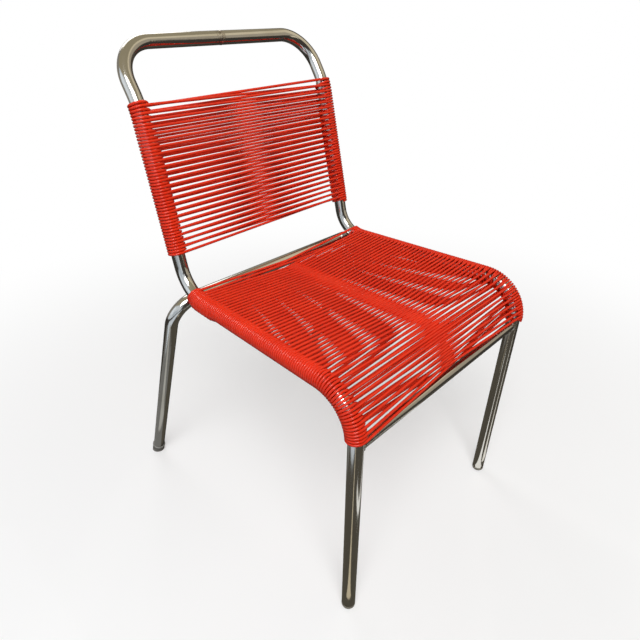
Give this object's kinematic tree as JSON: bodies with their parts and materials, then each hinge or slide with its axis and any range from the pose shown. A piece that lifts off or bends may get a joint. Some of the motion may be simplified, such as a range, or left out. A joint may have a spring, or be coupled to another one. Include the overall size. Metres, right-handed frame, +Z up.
{
  "type": "cord-wound tube dining chair",
  "caption": "Dining chair of bent chromed steel tube with a seat and a back wound from red plastic cord in a figure eight, a looped top rail and raked rear legs.",
  "frame": {"origin": "on the floor, in the middle of the chair's outline from side to side and front to back", "axes": "+Z up, -Y towards the front of the chair, +X to the right as seen from the front"},
  "size_m": [0.4806, 0.5728, 0.8068],
  "materials": {
    "chrome_tube": "polished",
    "weld_metal": "plated, ground",
    "inner_steel": "bare",
    "glide_plastic": "worn",
    "ferrule_plastic": "worn",
    "cord_plastic": "gloss"
  },
  "bodies": {
    "root": {"left_side_tube": "chrome_tube", "right_side_tube": "chrome_tube", "rear_leg_frame": "chrome_tube", "front_crossbar": "chrome_tube", "top_rail_spigot": "inner_steel", "top_rail_weld": "weld_metal", "left_rear_weld": "weld_metal", "right_rear_weld": "weld_metal", "front_crossbar_left_weld": "weld_metal", "front_crossbar_right_weld": "weld_metal", "front_left_glide": "glide_plastic", "front_right_glide": "glide_plastic", "rear_left_ferrule": "ferrule_plastic", "rear_right_ferrule": "ferrule_plastic", "seat_cord": "cord_plastic", "back_cord": "cord_plastic"}
  },
  "joints": []
}
